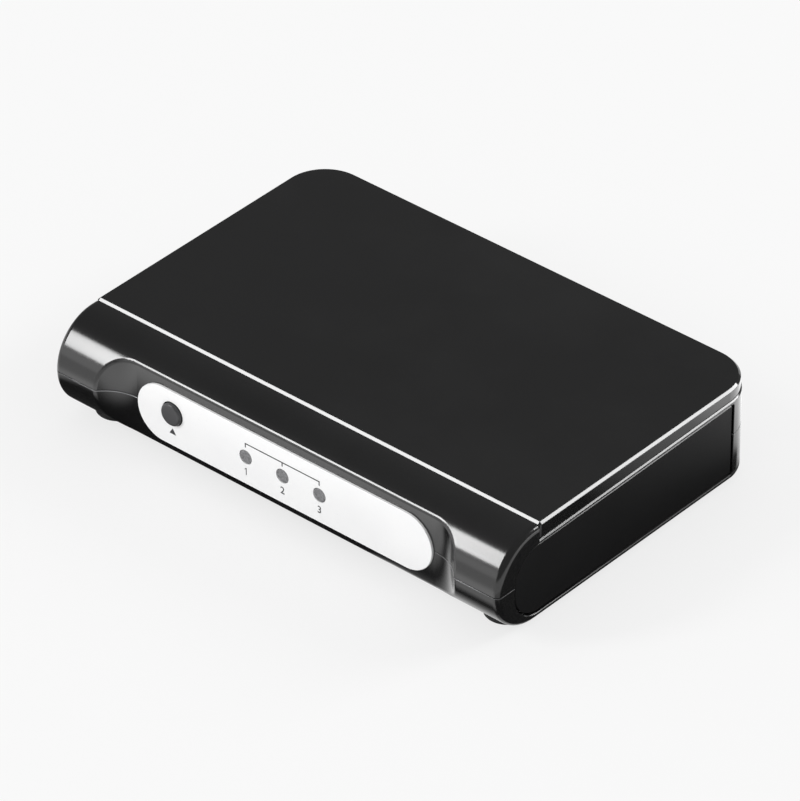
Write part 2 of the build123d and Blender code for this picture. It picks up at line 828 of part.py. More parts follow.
def jack_housing():
    """The plastic body with a round nozzle through the casing's back."""
    axis_z = board_top + jack_bore_height
    half = jack_width / 2
    body = block((jack_x - half, inner_rear_y - jack_length, board_top),
                 (jack_x + half, inner_rear_y, board_top + jack_height))
    body += rod_along_y(jack_x, axis_z, jack_nozzle_diameter, inner_rear_y - overrun, socket_mouth_y)
    bore_end = socket_mouth_y - jack_bore_depth
    body -= rod_along_y(jack_x, axis_z, jack_bore_diameter, bore_end, socket_mouth_y + overrun)
    return body.cut(jack_pin(), jack_contact())


def jack_slots():
    """Board slots for the two tails."""
    pin_half = jack_pin_diameter / 2
    back_y = inner_rear_y - jack_length
    start_y = socket_mouth_y - jack_bore_depth
    half = jack_contact_width / 2
    return [((jack_x - pin_half, back_y - jack_contact_thickness), (jack_x + pin_half, back_y)),
            ((jack_x - half, start_y), (jack_x + half, start_y + jack_contact_thickness))]


# Board and the parts on it

def circuit_board():
    """The board with its screw holes and the slots for every leg and tab."""
    outline = rectangle((-board_half_width, board_front_y), (board_half_width, board_rear_y))
    outline = fillet(outline.vertices(), board_corner_radius)
    board = up(outline, board_bottom, board_top)
    screw_hole = board_screw_diameter + 2 * shank_clearance
    holes = [rod_along_z(x, y, screw_hole, board_bottom - overrun, board_top + overrun)
             for x, y in board_screw_places]
    slots = switch_slots() + jack_slots()
    for place in socket_places:
        slots += [((low[0] + place, low[1]), (high[0] + place, high[1])) for low, high in tab_boxes()]
    lead_y = lamp_back_y + lead_reach
    slots += [((x - lead_side / 2, lead_y - lead_side), (x + lead_side / 2, lead_y)) for x in lead_places()]
    for low, high in slots:
        holes.append(block((low[0] - lead_clearance, low[1] - lead_clearance, board_bottom - overrun),
                           (high[0] + lead_clearance, high[1] + lead_clearance, board_top + overrun)))
    return board.cut(*holes)


def package(x, y, length, width, height):
    """A plain moulded chip body standing just above the board."""
    low = board_top + chip_stand
    return block((x - length / 2, y - width / 2, low), (x + length / 2, y + width / 2, low + height))


def gull_leads(x, y, half, count, pitch, width, reach, height, turns):
    """Rows of bent leads on the sides of a package, one row for each turn in degrees."""
    middle = board_top + chip_stand + height / 2
    knee = half + reach / 2
    leads = []
    for number in range(count):
        place = (number - (count - 1) / 2) * pitch
        near = place - width / 2
        far = place + width / 2
        arm = block((half, near, middle), (knee, far, middle + lead_thickness))
        leg = block((knee - lead_thickness, near, board_top), (knee, far, middle + lead_thickness))
        sole = block((knee - lead_thickness, near, board_top),
                     (half + reach, far, board_top + lead_thickness))
        leads.append(arm + leg + sole)
    return [Pos(x, y, 0) * Rot(0, 0, turn) * lead for turn in turns for lead in leads]


def switch_chip():
    """The large square chip, one corner cut, with a dot by its first lead."""
    body = package(chip_x, chip_y, chip_side, chip_side, chip_height)
    corner = body.edges().filter_by(Axis.Z).sort_by(Axis.X)[:2].sort_by(Axis.Y)[0]
    body = chamfer(corner, chip_corner_cut)
    top = board_top + chip_stand + chip_height
    place = chip_side / 2 - chip_dot_inset
    dot_floor = top - chip_dot_depth
    return body - rod_along_z(chip_x - place, chip_y - place, chip_dot_diameter, dot_floor, top + overrun)


def crystal():
    """A low metal can with rounded ends on a thin rim."""
    base = up(SlotOverall(crystal_length, crystal_width), board_top, board_top + crystal_base_height)
    can = up(SlotOverall(crystal_length - 2 * crystal_base_rim, crystal_width - 2 * crystal_base_rim),
             board_top, board_top + crystal_height)
    can = fillet(can.faces().sort_by(Axis.Z)[-1].edges(), crystal_base_rim)
    return Pos(crystal_x, crystal_y, 0) * (base + can)


def filter_capacitors():
    """Two aluminium cans on square bases."""
    cans = []
    for side in (-1, 1):
        y = can_y + side * can_spacing / 2
        half = can_base_side / 2
        base = block((can_x - half, y - half, board_top),
                     (can_x + half, y + half, board_top + can_base_height))
        can = rod_along_z(can_x, y, can_diameter, board_top, board_top + can_height)
        can = fillet(can.edges().sort_by(Axis.Z)[-1], can_edge_radius)
        cans.append(base + can)
    return cans


def small_parts(gap, height):
    """A row of small brick-shaped parts in front of each socket."""
    middle_y = socket_inner_y - gap
    bricks = []
    for place in socket_places:
        for number in range(small_row_count):
            x = place + (number - (small_row_count - 1) / 2) * small_row_pitch
            brick = Box(small_part_width, small_part_length, height)
            bricks.append(Pos(x, middle_y, board_top + height / 2) * brick)
    return bricks


def every_part():
    """Each node's name with its solid, or with its list of separate solids."""
    contacts = socket_contacts()
    insulator = socket_insulator(contacts)
    parts = {
        "upper_shell": upper_shell(),
        "lower_shell": lower_shell(),
        "top_plate": top_plate(),
        "side_panel_left": side_panel(-1),
        "side_panel_right": side_panel(1),
        "front_panel": front_panel(),
        "select_button": select_button(),
        "switch_plunger": switch_plunger(),
        "switch_housing": switch_housing(),
        "switch_cover": switch_cover(),
        "switch_pins": switch_pins(),
        "lamp_leads": lamp_leads(),
        "circuit_board": circuit_board(),
        "board_screws": board_screws(),
        "case_screws": case_screws(),
        "power_jack_housing": jack_housing(),
        "power_jack_pin": jack_pin(),
        "power_jack_contact": jack_contact(),
        "switch_chip": switch_chip(),
        "switch_chip_leads": gull_leads(chip_x, chip_y, chip_side / 2, chip_lead_count,
                                        chip_lead_pitch, chip_lead_width, chip_lead_reach,
                                        chip_height, (0, 90, 180, 270)),
        "control_chip": package(control_x, control_y, control_width, control_length, control_height),
        "control_chip_leads": gull_leads(control_x, control_y, control_width / 2, control_lead_count,
                                         control_lead_pitch, control_lead_width, control_lead_reach,
                                         control_height, (0, 180)),
        "voltage_regulator": package(regulator_x, regulator_y, regulator_width, regulator_length,
                                     regulator_height),
        "voltage_regulator_leads": gull_leads(regulator_x, regulator_y, regulator_width / 2,
                                              regulator_lead_count, regulator_lead_pitch,
                                              regulator_lead_width, regulator_lead_reach,
                                              regulator_height, (0,)),
        "crystal": crystal(),
        "filter_capacitors": filter_capacitors(),
        "chip_capacitors": small_parts(capacitor_row_gap, capacitor_height),
        "chip_resistors": small_parts(resistor_row_gap, resistor_height),
    }
    for number, x in enumerate(lamp_places, 1):
        parts[f"lamp_{number}"] = lamp(x)
    for name, (x, y) in foot_places.items():
        parts[name] = foot(x, y)
    for name, x in zip(socket_names, socket_places):
        parts[f"{name}_socket_shell"] = socket_shell(x)
        parts[f"{name}_socket_insulator"] = Pos(x, 0, 0) * insulator
        parts[f"{name}_socket_contacts"] = [Pos(x, 0, 0) * contact for contact in contacts]
    return parts


os.makedirs("parts", exist_ok=True)
for node, shape in every_part().items():
    export_step(Compound(shape) if isinstance(shape, list) else shape, f"parts/{node}.step")
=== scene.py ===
import json
import math
import bpy
from mathutils import Matrix, Vector


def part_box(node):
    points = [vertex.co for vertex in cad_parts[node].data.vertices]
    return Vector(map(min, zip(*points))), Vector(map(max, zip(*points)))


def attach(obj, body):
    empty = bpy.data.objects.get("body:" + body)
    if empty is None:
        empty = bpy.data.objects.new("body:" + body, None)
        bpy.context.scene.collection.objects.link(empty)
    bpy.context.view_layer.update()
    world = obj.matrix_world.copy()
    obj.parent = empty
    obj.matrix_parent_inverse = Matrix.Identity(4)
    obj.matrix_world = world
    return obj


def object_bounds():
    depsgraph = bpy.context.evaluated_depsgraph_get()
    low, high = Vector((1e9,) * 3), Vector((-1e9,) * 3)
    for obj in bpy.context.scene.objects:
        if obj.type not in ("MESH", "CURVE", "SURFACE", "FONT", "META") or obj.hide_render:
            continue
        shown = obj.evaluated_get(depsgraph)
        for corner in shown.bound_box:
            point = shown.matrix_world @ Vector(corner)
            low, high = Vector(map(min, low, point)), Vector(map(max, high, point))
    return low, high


# video switch box: gloss black casing, white front panel, button and three lamps
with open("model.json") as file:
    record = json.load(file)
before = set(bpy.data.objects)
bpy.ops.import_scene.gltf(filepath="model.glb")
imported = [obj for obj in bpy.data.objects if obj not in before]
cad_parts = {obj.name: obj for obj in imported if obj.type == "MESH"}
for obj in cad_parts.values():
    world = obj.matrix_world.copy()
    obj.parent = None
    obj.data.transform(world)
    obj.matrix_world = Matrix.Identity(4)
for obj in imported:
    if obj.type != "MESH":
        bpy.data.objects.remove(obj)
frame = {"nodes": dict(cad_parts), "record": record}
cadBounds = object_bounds()
nodes = frame["nodes"]
mm = 0.001
print("frame loaded,", len(nodes), "nodes")


def plug(tree, socket, value):
    if isinstance(value, Wire):
        tree.links.new(value.socket, socket)
    elif socket.type == "RGBA" and not hasattr(value, "__len__"):
        socket.default_value = (value, value, value, 1)
    elif socket.type == "RGBA":
        socket.default_value = (*value[:3], 1)
    else:
        socket.default_value = value


class Wire:  # one output of a node, usable in plain sums
    def __init__(self, tree, socket):
        self.tree = tree
        self.socket = socket

    def maths(self, operation, first, second):
        node = self.tree.nodes.new("ShaderNodeMath")
        node.operation = operation
        plug(self.tree, node.inputs[0], first)
        plug(self.tree, node.inputs[1], second)
        return Wire(self.tree, node.outputs[0])

    def __add__(self, other):
        return self.maths("ADD", self, other)

    def __radd__(self, other):
        return self.maths("ADD", other, self)

    def __sub__(self, other):
        return self.maths("SUBTRACT", self, other)

    def __rsub__(self, other):
        return self.maths("SUBTRACT", other, self)

    def __mul__(self, other):
        return self.maths("MULTIPLY", self, other)

    def __rmul__(self, other):
        return self.maths("MULTIPLY", other, self)

    def __gt__(self, other):
        return self.maths("GREATER_THAN", self, other)

    def __lt__(self, other):
        return self.maths("LESS_THAN", self, other)


class Finish:  # a material, or the world, being built
    def __init__(self, name, owner=None):
        self.owner = owner or bpy.data.materials.new(name)
        self.owner.use_nodes = True
        self.tree = self.owner.node_tree
        self.tree.nodes.clear()

    def node(self, kind, settings=None, inputs=None, output=0):
        made = self.tree.nodes.new("ShaderNode" + kind)
        for name, value in (settings or {}).items():
            if name == "stops":
                ramp = made.color_ramp.elements
                while len(ramp) < len(value):
                    ramp.new(0.5)
                for stop, (place, shade) in zip(ramp, value):
                    stop.position = place
                    stop.color = (shade, shade, shade, 1)
            else:
                setattr(made, name, value)
        for name, value in (inputs or {}).items():
            plug(self.tree, made.inputs[name], value)
        return Wire(self.tree, made.outputs[output]) if made.outputs else made

    def place(self, output="Object"):
        return self.node("TexCoord", output=output)

    def part(self, vector, axis):
        return self.node("SeparateXYZ", None, {"Vector": vector}, output=axis)

    def vector(self, operation, first, second=(0, 0, 0), output=0):
        return self.node("VectorMath", {"operation": operation}, {0: first, 1: second}, output)

    def noise(self, place, scale, detail=3.0, rough=0.5):
        inputs = {"Vector": place, "Scale": scale, "Detail": detail, "Roughness": rough}
        return self.node("TexNoise", {"noise_dimensions": "3D"}, inputs)

    def ramp(self, value, *stops):
        return self.node("ValToRGB", {"stops": stops}, {"Fac": value})

    def rise(self, value, start, end):  # 0 up to the start, 1 from the end on
        return self.ramp((value - start) * (1 / (end - start)), (0, 0), (1, 1))

    def mix(self, share, first, second):
        return self.node("Mix", {"data_type": "RGBA"}, {0: share, 6: first, 7: second}, output=2)

    def bump(self, height, strength, depth, edge=0.0):
        inputs = {"Height": height, "Strength": strength, "Distance": depth}
        if edge:  # rounds sharp moulded edges so that they catch the light
            inputs["Normal"] = self.node("Bevel", {"samples": 8}, {"Radius": edge})
        return self.node("Bump", None, inputs)

    def surface(self, clear=None, **values):
        names = {"color": "Base Color", "rough": "Roughness", "metal": "Metallic", "normal": "Normal",
                 "coat": "Coat Weight", "coatRough": "Coat Roughness", "ior": "IOR",
                 "level": "Specular IOR Level", "glow": "Emission Color",
                 "glowStrength": "Emission Strength"}
        shader = self.node("BsdfPrincipled", None, {names[key]: value for key, value in values.items()})
        if clear:  # share of the surface that light passes straight through
            inputs = {0: clear, 1: shader, 2: self.node("BsdfTransparent")}
            shader = self.node("MixShader", None, inputs)
        self.node("OutputMaterial", None, {"Surface": shader})
        return self.owner


# Gloss black of the casing and the lid, with scuffs, a painted highlight along the seam and dust low down

glossSettings = {
    "casingGloss": {"shade": 0.0028, "rough": 0.15, "level": 0.8, "wobble": 0.010, "edge": 0.12 * mm},
    "lidGloss": {"shade": 0.0030, "rough": 0.05, "level": 0.72, "wobble": 0.005, "edge": 0.16 * mm},
}
wearSettings = {"cloudScale": 60, "cloudGain": (1.7, 1.7, 1.8), "fineScale": 2600, "scuffScale": 420,
                "scuffStretch": (1, 14, 14), "scuffShare": 0.10, "scuffShade": (0.02, 0.02, 0.021),
                "smudgeScale": 24, "smudgeShare": 0.25, "smudgeShade": (0.016, 0.016, 0.016),
                "waveScale": 38, "waveDepth": 0.6 * mm}
# painted highlight along the seam: band heights under the seam top, its share and shade, patches and fading
# ends
seamHighlightSettings = {"lipLow": 0.22 * mm, "lipHigh": 0.04 * mm, "paintedHighlightShare": 0.85, "paintedHighlightShade": (0.30, 0.30, 0.31),
                "patchScale": 160, "endFade": (3.5 * mm, 1.5 * mm), "endShare": 0.7}
dustSettings = {"height": 2.75 * mm, "fade": (-30 * mm, 0), "least": 0.3, "rough": 0.4}


def seamLip(m, place):  # painted highlight on the moulded edge just under the seam, in patches, fainter at both ends
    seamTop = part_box("lower_shell")[1].z
    height = m.part(place, "Z")
    lip = (height > seamTop - seamHighlightSettings["lipLow"]) * (height < seamTop - seamHighlightSettings["lipHigh"])
    lip = lip * m.ramp(m.noise(place, seamHighlightSettings["patchScale"], 3), (0.35, 0.25), (0.6, 1))
    sideward = m.part(m.vector("ABSOLUTE", place), "X")
    start, end = (cadBounds[1][0] - inset for inset in seamHighlightSettings["endFade"])
    return lip * (1 - seamHighlightSettings["endShare"] * m.rise(sideward, start, end))


def lowDust(m, place):  # dulls the rim under the side panels, less towards the front
    least = dustSettings["least"]
    dust = least + (1 - least) * m.rise(m.part(place, "Y"), *dustSettings["fade"])
    return (m.part(place, "Z") < dustSettings["height"]) * dust


def glossBlack(name):
    own, wear = glossSettings[name], wearSettings
    m = Finish(name)
    place = m.place()
    cloud = m.noise(place, wear["cloudScale"], 4)
    fine = m.noise(place, wear["fineScale"], 2)
    scuffs = m.noise(m.vector("MULTIPLY", place, wear["scuffStretch"]), wear["scuffScale"], 5, 0.7)
    scuff = m.ramp(scuffs, (0.58, 0), (0.75, 1))
    smudge = m.ramp(m.noise(place, wear["smudgeScale"], 6, 0.6), (0.45, 0), (0.7, 1))
    shade = own["shade"]
    color = m.mix(cloud, (shade, shade, shade * 1.02), tuple(shade * gain for gain in wear["cloudGain"]))
    color = m.mix(smudge * wear["smudgeShare"], color, wear["smudgeShade"])
    color = m.mix(scuff * wear["scuffShare"], color, wear["scuffShade"])
    # painted highlight: the colour is lightened along the seam's lower edge
    color = m.mix(seamLip(m, place) * seamHighlightSettings["paintedHighlightShare"], color, seamHighlightSettings["paintedHighlightShade"])
    rough = own["rough"] + cloud * 0.02 + scuff * 0.05 + fine * 0.01
    rough = rough + lowDust(m, place) * dustSettings["rough"]
    wave = m.noise(place, wear["waveScale"], 1)
    return m.surface(color=color, rough=rough, level=own["level"],
                     normal=m.bump(wave, own["wobble"], wear["waveDepth"], own["edge"]))


satinSettings = {"shade": 0.0075, "rough": 0.34, "cloudScale": 45, "grainScale": 5200,
                 "grainDepth": 0.02 * mm, "edge": 0.12 * mm, "level": 0.12, "ior": 1.38,
                 "bevelCoat": 0.5, "coatRough": 0.1}


def satinBlack(name):  # side panels, a little glossier on their rubbed bevels
    own = satinSettings
    m = Finish(name)
    place = m.place()
    cloud = m.noise(place, own["cloudScale"], 4)
    grain = m.noise(place, own["grainScale"], 2, 0.6)
    shade = own["shade"]
    color = m.mix(cloud, (shade, shade, shade), (shade * 1.5, shade * 1.5, shade * 1.55))
    facing = m.part(m.node("NewGeometry", output="Normal"), "Z")
    bevel = m.ramp(facing, (0.3, 0), (0.5, 1), (0.85, 1), (0.95, 0))
    return m.surface(color=color, rough=own["rough"] + cloud * 0.08 + grain * 0.05,
                     normal=m.bump(grain, 0.25, own["grainDepth"], own["edge"]), level=own["level"],
                     ior=own["ior"], coat=bevel * own["bevelCoat"], coatRough=own["coatRough"])


panelSettings = {"shades": ((0.865, 0.865, 0.87), (0.91, 0.91, 0.91)), "cloudScale": 90, "speckScale": 1500,
                 "speckShare": 0.25, "speckShade": (0.72, 0.72, 0.72), "rough": 0.16, "waveDepth": 0.2 * mm}


def panelWhite(name):
    own = panelSettings
    m = Finish(name)
    place = m.place()
    cloud = m.noise(place, own["cloudScale"], 3)
    speck = m.ramp(m.noise(place, own["speckScale"], 2), (0.68, 0), (0.74, 1))
    color = m.mix(speck * own["speckShare"], m.mix(cloud, *own["shades"]), own["speckShade"])
    return m.surface(color=color, rough=own["rough"] + cloud * 0.06,
                     normal=m.bump(cloud, 0.08, own["waveDepth"]), level=0.4)


inkSettings = {"shades": ((0.035, 0.035, 0.037), (0.075, 0.075, 0.08)), "grainScale": 5200, "rough": 0.42,
               "grainDepth": 0.01 * mm}


def printInk(name):
    own = inkSettings
    m = Finish(name)
    grain = m.noise(m.place(), own["grainScale"], 3)
    return m.surface(color=m.mix(grain, *own["shades"]), rough=own["rough"] + grain * 0.12,
                     normal=m.bump(grain, 0.2, own["grainDepth"]), level=0.35)


buttonSettings = {"shades": ((0.034, 0.034, 0.036), (0.060, 0.060, 0.063)), "cloudScale": 300,
                  "grainScale": 3800, "rough": 0.28, "grainDepth": 0.03 * mm}


def buttonGrey(name):
    own = buttonSettings
    m = Finish(name)
    place = m.place()
    grain = m.noise(place, own["grainScale"], 3, 0.6)
    cloud = m.noise(place, own["cloudScale"], 3)
    return m.surface(color=m.mix(cloud, *own["shades"]), rough=own["rough"] + grain * 0.12,
                     normal=m.bump(grain, 0.3, own["grainDepth"]), level=0.5)


lensSettings = {"shades": ((0.095, 0.095, 0.10), (0.26, 0.26, 0.265)), "cloudScale": 2200,
                "cloudDepth": 0.06 * mm, "bubbleScale": 2600, "bubbleShare": 0.25,
                "bubbleShade": (0.33, 0.33, 0.335), "rough": 0.22}


def lampLens(name):  # frosted lamp, mottled by the bubbles inside
    own = lensSettings
    m = Finish(name)
    place = m.place()
    cloud = m.noise(place, own["cloudScale"], 4, 0.65)
    bubbles = m.ramp(m.noise(place, own["bubbleScale"], 2), (0.45, 0), (0.62, 1))
    color = m.mix(m.ramp(cloud, (0.35, 0), (0.65, 1)), *own["shades"])
    color = m.mix(bubbles * own["bubbleShare"], color, own["bubbleShade"])
    return m.surface(color=color, rough=own["rough"] + cloud * 0.15,
                     normal=m.bump(cloud, 0.2, own["cloudDepth"]), level=0.5)


rubberSettings = {"shade": (0.016, 0.016, 0.016), "dustShade": (0.045, 0.044, 0.042), "dustShare": 0.5,
                  "dustScale": 420, "grainScale": 2600, "rough": 0.72, "grainDepth": 0.06 * mm}


def rubber(name):
    own = rubberSettings
    m = Finish(name)
    place = m.place()
    grain = m.noise(place, own["grainScale"], 5, 0.7)
    dust = m.ramp(m.noise(place, own["dustScale"], 4), (0.5, 0), (0.72, 1))
    return m.surface(color=m.mix(dust * own["dustShare"], own["shade"], own["dustShade"]),
                     rough=own["rough"] + grain * 0.2,
                     normal=m.bump(grain, 0.6, own["grainDepth"]), level=0.35)


# metals, with the stretch that draws their grain out along one way
metalSettings = {
    "screwSteel": {"shade": (0.34, 0.34, 0.35), "rough": 0.3, "stretch": (1, 1, 1)},
    "socketNickel": {"shade": (0.66, 0.65, 0.62), "rough": 0.22, "stretch": (1, 0.05, 1)},
    "contactGold": {"shade": (0.83, 0.62, 0.28), "rough": 0.2, "stretch": (1, 0.1, 1)},
    "tinnedLead": {"shade": (0.7, 0.7, 0.69), "rough": 0.3, "stretch": (1, 1, 1)},
    "drawnCan": {"shade": (0.76, 0.76, 0.77), "rough": 0.25, "stretch": (1, 1, 0.05)},
}
brushSettings = {"scale": 900, "share": 0.25, "gain": 1.15, "palest": 0.95, "depth": 0.02 * mm,
                 "stainScale": 220, "stainShare": 0.48, "stainGain": 0.72}


def sheetMetal(name):
    own, brush = metalSettings[name], brushSettings
    m = Finish(name)
    place = m.place()
    brushed = m.noise(m.vector("MULTIPLY", place, own["stretch"]), brush["scale"], 5, 0.65)
    stain = m.noise(place, brush["stainScale"], 3)
    stained = tuple(part * brush["stainGain"] for part in own["shade"])
    bright = tuple(min(part * brush["gain"], brush["palest"]) for part in own["shade"])
    color = m.mix(stain * brush["stainShare"], own["shade"], stained)
    color = m.mix(brushed * brush["share"], color, bright)
    return m.surface(color=color, metal=1.0, rough=own["rough"] + brushed * 0.14,
                     normal=m.bump(brushed, 0.12, brush["depth"]))


boardSettings = {"shades": ((0.006, 0.06, 0.022), (0.01, 0.085, 0.03)), "trackShade": (0.03, 0.2, 0.07),
                 "trackShare": 0.8, "islandScale": 70, "weaveScale": 1800, "rough": 0.3, "depth": 0.04 * mm}
trackGrid = {"Scale": 260.0, "Mortar Size": 0.07, "Mortar Smooth": 0.1, "Bias": 0.0, "Brick Width": 0.9,
             "Row Height": 0.32}


def boardGreen(name):  # lacquered board with raised tracks in islands
    own = boardSettings
    m = Finish(name)
    place = m.place()
    settings = {"offset": 0.37, "offset_frequency": 3, "squash": 1.6, "squash_frequency": 2}
    grid = m.node("TexBrick", settings, {"Vector": place, **trackGrid}, output=1)
    track = grid * m.ramp(m.noise(place, own["islandScale"], 1), (0.48, 0), (0.5, 1))
    weave = m.noise(m.vector("MULTIPLY", place, (1, 3, 1)), own["weaveScale"], 2)
    color = m.mix(track * own["trackShare"], m.mix(weave, *own["shades"]), own["trackShade"])
    return m.surface(color=color, rough=own["rough"] + weave * 0.1,
                     normal=m.bump(track + weave * 0.2, 0.3, own["depth"]))


plasticSettings = {
    "socketBlack": {"shade": (0.014, 0.014, 0.015), "rough": 0.5, "grainScale": 3000},
    "chipEpoxy": {"shade": (0.018, 0.018, 0.019), "rough": 0.6, "grainScale": 5200},
    "ceramicTan": {"shade": (0.36, 0.25, 0.14), "rough": 0.5, "grainScale": 4200},
    "filmBlack": {"shade": (0.02, 0.02, 0.024), "rough": 0.35, "grainScale": 4200},
    "switchBlack": {"shade": (0.03, 0.03, 0.03), "rough": 0.45, "grainScale": 3000},
}
mouldSettings = {"cloudScale": 260, "cloudGains": (0.85, 1.2), "grainDepth": 0.04 * mm}


def mouldedPlastic(name):
    own, mould = plasticSettings[name], mouldSettings
    m = Finish(name)
    place = m.place()
    grain = m.noise(place, own["grainScale"], 4, 0.6)
    cloud = m.noise(place, mould["cloudScale"], 3)
    darker, paler = (tuple(part * gain for part in own["shade"]) for gain in mould["cloudGains"])
    return m.surface(color=m.mix(cloud, darker, paler), rough=own["rough"] + grain * 0.15,
                     normal=m.bump(grain, 0.35, mould["grainDepth"]), level=0.4)


finishes = {
    "casing": glossBlack("casingGloss"),
    "lid": glossBlack("lidGloss"),
    "side_panel": satinBlack("sideSatin"),
    "front_panel": panelWhite("panelWhite"),
    "button": buttonGrey("buttonGrey"),
    "lamp": lampLens("lampLens"),
    "rubber": rubber("rubber"),
    "screw_steel": sheetMetal("screwSteel"),
    "board": boardGreen("boardGreen"),
    "socket_steel": sheetMetal("socketNickel"),
    "socket_plastic": mouldedPlastic("socketBlack"),
    "contact_metal": sheetMetal("contactGold"),
    "tin_metal": sheetMetal("tinnedLead"),
    "can_metal": sheetMetal("drawnCan"),
    "chip_plastic": mouldedPlastic("chipEpoxy"),
    "ceramic_tan": mouldedPlastic("ceramicTan"),
    "ceramic_black": mouldedPlastic("filmBlack"),
    "switch_plastic": mouldedPlastic("switchBlack"),
}
inkFinish = printInk("printInk")

for subpart in frame["record"]["subparts"]:
    nodeObject = nodes[subpart["node"]]
    nodeObject.data.materials.clear()
    nodeObject.data.materials.append(finishes[subpart["material_slot"]])
print("finishes on", len(nodes), "nodes")


# Print on the white panel: the lamps' numbers, a rule over the lamps and a triangle under the button

printSettings = {"digitHeight": 1.6 * mm, "digitDrop": 3.25 * mm, "capShare": 0.72, "thickness": 0.02 * mm,
                 "sink": 0.004 * mm, "weight": 0.02 * mm, "curveSteps": 8, "stroke": 0.2 * mm,
                 "flagShare": 2.3, "flagDropShare": 1.6}
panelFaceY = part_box("front_panel")[0].y


def dressPrint(piece):
    piece.data.materials.clear()
    piece.data.materials.append(inkFinish)
    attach(piece, "case")
    return piece


def printedDigit(text, x, z):
    curve = bpy.data.curves.new("digitCurve" + text, "FONT")
    curve.body = text
    curve.size = printSettings["digitHeight"] / printSettings["capShare"]
    curve.extrude = printSettings["thickness"] / 2
    curve.offset = printSettings["weight"]
    curve.resolution_u = printSettings["curveSteps"]
    curve.align_x = "CENTER"
    carrier = bpy.data.objects.new("digitCarrier" + text, curve)
    bpy.context.scene.collection.objects.link(carrier)
    bpy.context.view_layer.update()
    mesh = bpy.data.meshes.new_from_object(carrier)
    bpy.data.objects.remove(carrier)
    bpy.data.curves.remove(curve)
    low = min(v.co.y for v in mesh.vertices)
    high = max(v.co.y for v in mesh.vertices)
    turn = Matrix.Translation((x, panelFaceY - printSettings["thickness"] / 2 + printSettings["sink"], z))
    turn = turn @ Matrix.Rotation(math.radians(90), 4, "X") @ Matrix.Translation((0, -(low + high) / 2, 0))
    mesh.transform(turn)
    piece = bpy.data.objects.new("printed_number_" + text, mesh)
    bpy.context.scene.collection.objects.link(piece)
    return dressPrint(piece)


def printedShape(name, outlines):  # flat ink shapes, each a ring of x, z points
    mesh = bpy.data.meshes.new(name)
    front = panelFaceY - printSettings["thickness"] + printSettings["sink"]
    back = panelFaceY + printSettings["sink"]
    points, faces = [], []
    for ring in outlines:
        base, count = len(points), len(ring)
        points += [(x, front, z) for x, z in ring] + [(x, back, z) for x, z in ring]
        faces.append([base + k for k in range(count)])
        faces.append([base + count + k for k in reversed(range(count))])
        faces += [[base + (k + 1) % count, base + k, base + count + k, base + count + (k + 1) % count]
                  for k in range(count)]
    mesh.from_pydata(points, [], faces)
    piece = bpy.data.objects.new(name, mesh)
    bpy.context.scene.collection.objects.link(piece)
    return dressPrint(piece)


def printedOne(x, z):  # the plain typeface's 1 has no flag, so this one is drawn
    half, stroke = printSettings["digitHeight"] / 2, printSettings["stroke"]
    left = x + stroke - stroke * printSettings["flagShare"]
    top = z + half - stroke * printSettings["flagDropShare"]
    ring = [(x, z - half), (x + stroke, z - half), (x + stroke, z + half), (x + stroke / 3, z + half),
            (left, top), (left, top - stroke), (x, top)]
    return printedShape("printed_number_1", [ring])


scaleSettings = {"rise": 3.1 * mm, "line": 0.26 * mm, "tick": 0.75 * mm}
pointerSettings = {"drop": 3.35 * mm, "width": 1.7 * mm, "height": 1.3 * mm}


def bar(x, z, width, height):
    return [(x - width / 2, z - height / 2), (x + width / 2, z - height / 2),
            (x + width / 2, z + height / 2), (x - width / 2, z + height / 2)]


def printedScale(places):  # one rule over the lamps with a tick down to each
    rise, line, tick = (scaleSettings[key] for key in ("rise", "line", "tick"))
    top = places[0].z + rise
    span = places[-1].x - places[0].x
    middle = (places[-1].x + places[0].x) / 2
    rings = [bar(middle, top, span + line, line)]
    rings += [bar(place.x, top - (line + tick) / 2, line, tick) for place in places]
    return printedShape("printed_scale", rings)


def printedPointer(place):  # small triangle under the button
    x, z = place.x, place.z - pointerSettings["drop"]
    half, tall = pointerSettings["width"] / 2, pointerSettings["height"]
    return printedShape("printed_pointer", [[(x - half, z - tall), (x + half, z - tall), (x, z)]])


def middleOf(nodeName):
    low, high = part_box(nodeName)
    return (low + high) / 2


lampPlaces = [middleOf(f"lamp_{number}") for number in (1, 2, 3)]
firstLamp, *otherLamps = lampPlaces
printedOne(firstLamp.x, firstLamp.z - printSettings["digitDrop"])
for number, place in enumerate(otherLamps, 2):
    printedDigit(str(number), place.x, place.z - printSettings["digitDrop"])
printedScale(lampPlaces)
printedPointer(middleOf("select_button"))
print("panel printed")


# Stage: floor, softboxes, world and camera

floorSettings = {"size": 8.0, "shade": 0.93, "cloudScale": 3, "cloudGain": 1.004, "cameraShare": 0.8}
backShade = 0.922  # background that the camera sees

# painted reflection of the floor, seen only by glossy rays: painted shade close to the box and beside its
# right end, pale further off and painted light at the rear corner:
# near, side reach, closer and the ring are distances from the box's outline, the other ranges are places on
# the floor
paintedMirrorSettings = {"darkest": 0.04, "palest": 0.94, "near": (8.5 * mm, 12.5 * mm),
                  "rear": (20 * mm, 42 * mm), "rearShare": 0.85,
                  "sideFront": (8 * mm, 45 * mm), "sideReach": (22 * mm, 28 * mm),
                  "cornerBack": (40 * mm, 56 * mm), "cornerAcross": (30 * mm, 45 * mm), "cornerShade": 1.2,
                  "closer": 5.5 * mm, "closerAcross": (12 * mm, 20 * mm)}
# painted light: paler ring in front of the box, seen only by glossy rays
ringSettings = {"start": (11.5 * mm, 14.5 * mm), "end": (20 * mm, 32 * mm), "shade": 0.6}
# painted light: paler patch under the right end of the nose, seen only by glossy rays, start and end
# counted from the front
underSettings = {"start": (-1.5 * mm, 3 * mm), "end": (8 * mm, 11 * mm), "across": (18 * mm, 24 * mm),
                 "shade": 0.8, "streakAcross": (34 * mm, 38 * mm), "streakShade": 0.6}


